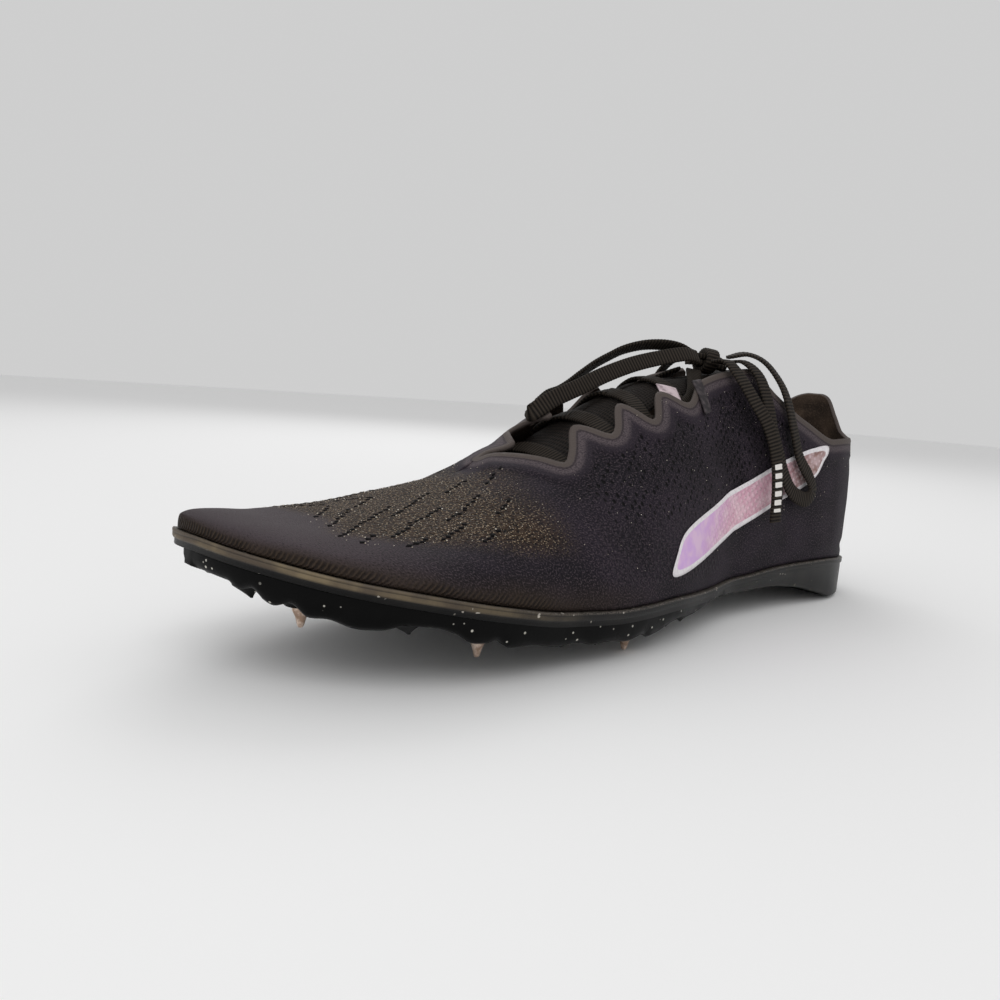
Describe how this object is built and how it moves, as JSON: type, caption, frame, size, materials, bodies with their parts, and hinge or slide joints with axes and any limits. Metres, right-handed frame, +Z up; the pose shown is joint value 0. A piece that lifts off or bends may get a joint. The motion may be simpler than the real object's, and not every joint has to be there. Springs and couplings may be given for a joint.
{
  "type": "track spike shoe",
  "caption": "Low left running spike shoe with a knit upper, laced scalloped throat, thin foam midsole and a toothed forefoot plate with steel pins.",
  "frame": {"origin": "middle of the shoe's box, without its free lace, on the floor plane", "axes": "+X from heel to toe, +Y to the outer (lateral) side, +Z up"},
  "size_m": [0.2836, 0.0896, 0.0954],
  "materials": {
    "knit_upper": "fine black knit under a thin matt film, faint purple cast",
    "tongue_mesh": "open black-brown mesh",
    "insole_cloth": "brown-black brushed cloth",
    "midsole_foam": "satin dark foam, lighter brown-grey along the rim at the toe",
    "plate_plastic": "glossy black moulded plate",
    "pin_steel": "dull pinkish-beige steel",
    "lace_cloth": "flat woven black lace with fine cross ribs"
  },
  "bodies": {
    "root": {"upper": "knit_upper", "tongue": "tongue_mesh", "insole": "insole_cloth", "midsole": "midsole_foam", "spike_plate": "plate_plastic", "lace_crossings": "lace_cloth", "lace_knot": "lace_cloth", "lace_loop_front": "lace_cloth", "lace_loop_rear": "lace_cloth", "lace_end_rear": "lace_cloth", "lace_end_front": "lace_cloth", "spike_1": "pin_steel", "spike_2": "pin_steel", "spike_3": "pin_steel", "spike_4": "pin_steel", "spike_5": "pin_steel", "spike_6": "pin_steel"}
  },
  "joints": []
}
